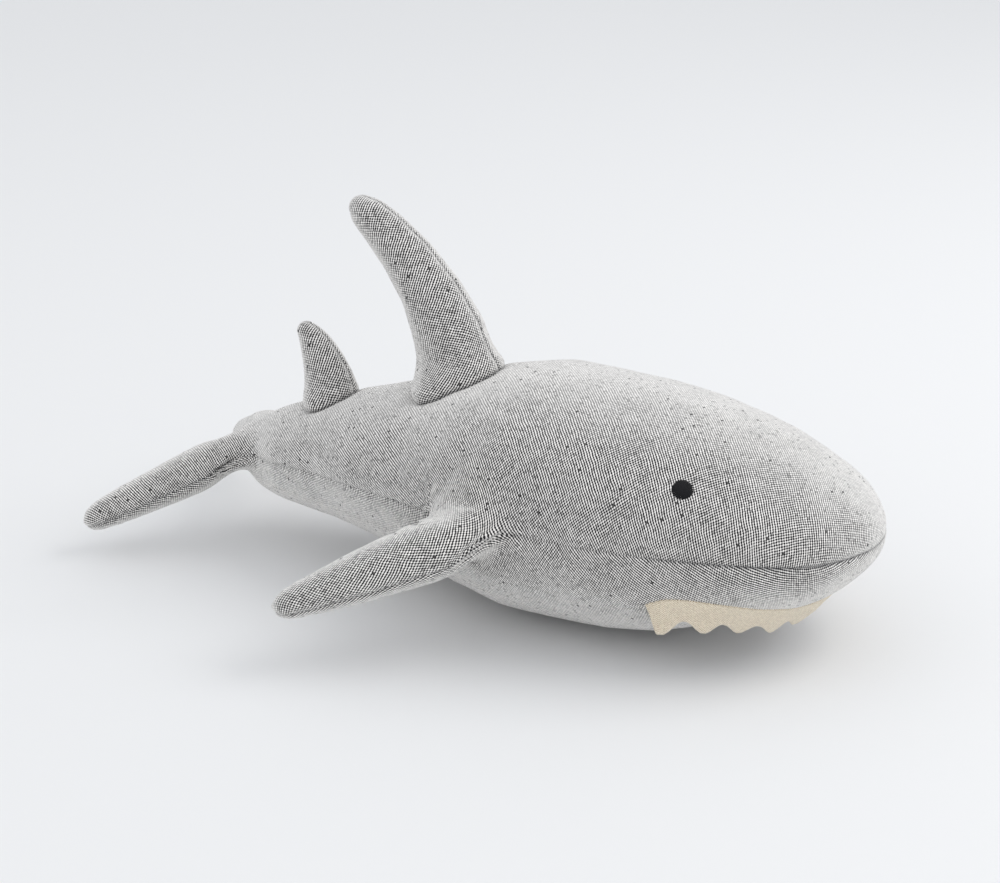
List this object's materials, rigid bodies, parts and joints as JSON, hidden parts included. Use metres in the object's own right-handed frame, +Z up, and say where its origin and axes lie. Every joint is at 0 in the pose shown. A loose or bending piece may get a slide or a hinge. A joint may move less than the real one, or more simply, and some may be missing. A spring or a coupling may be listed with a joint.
{
  "type": "plush shark",
  "caption": "Stuffed knitted shark toy lying on its belly, with bendable pectoral fins, tail flukes and dorsal fins, a scalloped cloth strip of teeth and embroidered eyes.",
  "frame": {"origin": "on the surface that the shark lies on, under the middle of its bounding box", "axes": "+X towards the nose, +Y towards the shark's left, +Z up"},
  "size_m": [0.5247, 0.3638, 0.2479],
  "materials": {
    "body_knit": "fine jersey knit in light grey yarn with charcoal between the stitches and dark flecks",
    "fin_knit": "the same fine jersey knit, stretched over the fins",
    "tooth_cloth": "cream rib-knit cloth, doubled, with a scalloped edge",
    "eye_thread": "black satin-stitch embroidery thread",
    "stuffing": "white polyester fibre"
  },
  "bodies": {
    "body": {"back_panel": "body_knit", "belly_panel": "body_knit", "body_stuffing": "stuffing", "teeth_strip": "tooth_cloth", "eye_left": "eye_thread", "eye_right": "eye_thread"},
    "pectoral_left": {"pectoral_left_top": "fin_knit", "pectoral_left_underside": "fin_knit", "pectoral_left_stuffing": "stuffing"},
    "pectoral_right": {"pectoral_right_top": "fin_knit", "pectoral_right_underside": "fin_knit", "pectoral_right_stuffing": "stuffing"},
    "fluke_left": {"fluke_left_top": "fin_knit", "fluke_left_underside": "fin_knit", "fluke_left_stuffing": "stuffing"},
    "fluke_right": {"fluke_right_top": "fin_knit", "fluke_right_underside": "fin_knit", "fluke_right_stuffing": "stuffing"},
    "dorsal": {"dorsal_left_side": "fin_knit", "dorsal_right_side": "fin_knit", "dorsal_stuffing": "stuffing"},
    "rear_dorsal": {"rear_dorsal_left_side": "fin_knit", "rear_dorsal_right_side": "fin_knit", "rear_dorsal_stuffing": "stuffing"}
  },
  "joints": [
    {"name": "pectoral_left_flap", "type": "hinge", "parent": "body", "child": "pectoral_left", "pos_m": [0.029, 0.1155, 0.074], "axis": [0.9877, 0.1564, 0], "range_deg": [-12, 45], "stiffness_Nm_per_rad": 0.3},
    {"name": "pectoral_right_flap", "type": "hinge", "parent": "body", "child": "pectoral_right", "pos_m": [0.029, -0.1155, 0.074], "axis": [-0.9877, 0.1564, 0], "range_deg": [-12, 45], "stiffness_Nm_per_rad": 0.3},
    {"name": "fluke_left_flap", "type": "hinge", "parent": "body", "child": "fluke_left", "pos_m": [-0.194, 0.0325, 0.0595], "axis": [0.7254, 0.6884, 0], "range_deg": [-10, 40], "stiffness_Nm_per_rad": 0.25},
    {"name": "fluke_right_flap", "type": "hinge", "parent": "body", "child": "fluke_right", "pos_m": [-0.194, -0.0325, 0.0595], "axis": [-0.7254, 0.6884, 0], "range_deg": [-10, 40], "stiffness_Nm_per_rad": 0.25},
    {"name": "dorsal_sway", "type": "hinge", "parent": "body", "child": "dorsal", "pos_m": [-0.028, 0, 0.156], "axis": [0.9659, 0, 0.2588], "range_deg": [-35, 35], "stiffness_Nm_per_rad": 0.3},
    {"name": "rear_dorsal_sway", "type": "hinge", "parent": "body", "child": "rear_dorsal", "pos_m": [-0.122, 0, 0.121], "axis": [0.9659, 0, 0.2588], "range_deg": [-35, 35], "stiffness_Nm_per_rad": 0.1}
  ]
}
